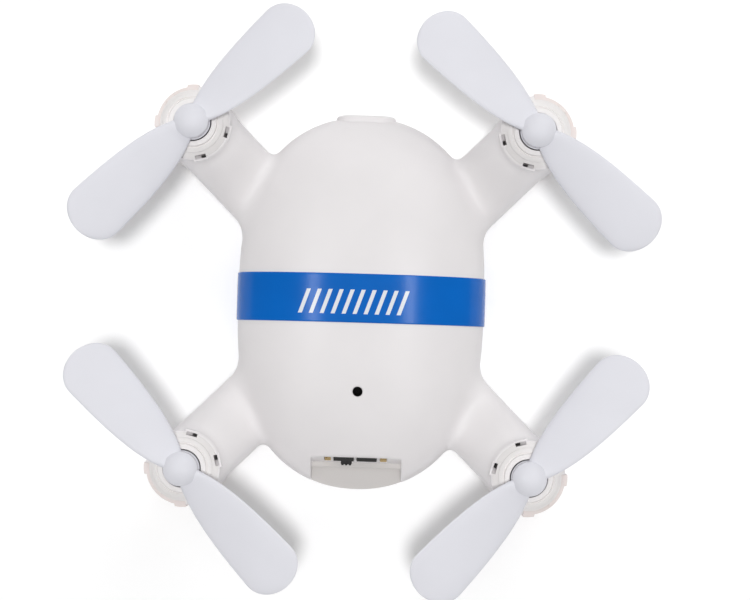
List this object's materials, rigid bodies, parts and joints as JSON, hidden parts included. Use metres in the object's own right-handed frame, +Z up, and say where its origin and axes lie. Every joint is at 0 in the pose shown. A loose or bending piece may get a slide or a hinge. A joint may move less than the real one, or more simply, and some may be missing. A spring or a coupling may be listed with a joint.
{
  "type": "mini palm drone",
  "caption": "Palm-size quadcopter with an egg-shaped body, slim arms, motor pods with lamp feet, two-blade propellers, a rear slide switch and a charging socket",
  "frame": {"origin": "On the ground under the middle of the four propeller axes, at the bottom centre of the object's box", "axes": "+Z is up, +Y is the nose, +X is the right-hand side seen from behind"},
  "size_m": [0.1024, 0.1026, 0.0285],
  "materials": {
    "shell": "satin",
    "propeller": "satin",
    "pod_ring": "satin",
    "lamp_cover": "frosted translucent",
    "belt": "gloss",
    "clear_lens": "gloss",
    "led": "gloss",
    "board": "solder mask",
    "black_plastic": "moulded",
    "steel": "plated",
    "brass": "plated",
    "cell_foil": "foil pouch",
    "foam": "foam tape",
    "white_plastic": "moulded",
    "wire": "insulated wire"
  },
  "bodies": {
    "airframe": {"upper_shell": "shell", "lower_shell": "shell", "belt_upper": "belt", "belt_lower": "belt", "nose_bezel": "shell", "nose_lens": "clear_lens", "nose_leds": "led", "main_board": "board", "board_chips": "black_plastic", "radio_shield": "steel", "crystal": "steel", "pressure_sensor": "black_plastic", "antenna_wire": "black_plastic", "battery_cell": "cell_foil", "battery_pad": "foam", "battery_leads": "wire", "battery_plug": "white_plastic", "battery_socket": "white_plastic", "switch_case": "black_plastic", "charge_socket": "black_plastic", "charge_pins": "brass", "port_tabs": "brass", "shell_screws": "steel", "motor_can_fl": "steel", "motor_can_fr": "steel", "motor_can_rl": "steel", "motor_can_rr": "steel", "motor_cap_fl": "white_plastic", "motor_cap_fr": "white_plastic", "motor_cap_rl": "white_plastic", "motor_cap_rr": "white_plastic", "pod_ring_fl": "pod_ring", "pod_ring_fr": "pod_ring", "pod_ring_rl": "pod_ring", "pod_ring_rr": "pod_ring", "lamp_foot_fl": "lamp_cover", "lamp_foot_fr": "lamp_cover", "lamp_foot_rl": "lamp_cover", "lamp_foot_rr": "lamp_cover", "foot_led_fl": "led", "foot_led_fr": "led", "foot_led_rl": "led", "foot_led_rr": "led", "pod_leads_fl": "wire", "pod_leads_fr": "wire", "pod_leads_rl": "wire", "pod_leads_rr": "wire"},
    "rotor_fl": {"propeller_fl": "propeller", "motor_rotor_fl": "brass"},
    "rotor_fr": {"propeller_fr": "propeller", "motor_rotor_fr": "brass"},
    "rotor_rl": {"propeller_rl": "propeller", "motor_rotor_rl": "brass"},
    "rotor_rr": {"propeller_rr": "propeller", "motor_rotor_rr": "brass"},
    "switch": {"switch_knob": "black_plastic"}
  },
  "joints": [
    {"name": "propeller_spin_fl", "type": "hinge", "parent": "airframe", "child": "rotor_fl", "pos_m": [-0.03, 0.03, 0.026], "axis": [0, 0, 1], "continuous": true},
    {"name": "propeller_spin_fr", "type": "hinge", "parent": "airframe", "child": "rotor_fr", "pos_m": [0.03, 0.03, 0.026], "axis": [0, 0, 1], "continuous": true},
    {"name": "propeller_spin_rl", "type": "hinge", "parent": "airframe", "child": "rotor_rl", "pos_m": [-0.03, -0.03, 0.026], "axis": [0, 0, 1], "continuous": true},
    {"name": "propeller_spin_rr", "type": "hinge", "parent": "airframe", "child": "rotor_rr", "pos_m": [0.03, -0.03, 0.026], "axis": [0, 0, 1], "continuous": true},
    {"name": "switch_slide", "type": "slide", "parent": "airframe", "child": "switch", "axis": [-1, 0, 0], "range_m": [0, 0.0012]}
  ]
}
